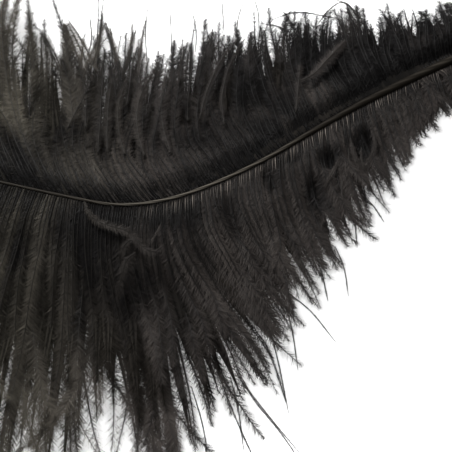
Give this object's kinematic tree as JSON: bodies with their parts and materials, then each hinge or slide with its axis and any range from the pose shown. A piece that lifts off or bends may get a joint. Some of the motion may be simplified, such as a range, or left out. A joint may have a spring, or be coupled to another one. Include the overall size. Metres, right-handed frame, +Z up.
{
  "type": "ostrich feather",
  "caption": "Black ostrich plume lying on its side barbs: a curved, tapering shaft with long, soft, loose barbs fanning out on both sides and a bare quill end.",
  "frame": {"origin": "on the surface that the plume lies on, under the middle of its box", "axes": "+X towards the quill end, -X towards the tip, +Y towards the plume's right vane, +Z up, out of the shaft's back"},
  "size_m": [0.4103, 0.2309, 0.0253],
  "materials": {
    "shaft_keratin": "satin",
    "barb_keratin": "matte"
  },
  "bodies": {
    "root": {"shaft": "shaft_keratin", "left_vane": "barb_keratin", "right_vane": "barb_keratin"}
  },
  "joints": []
}
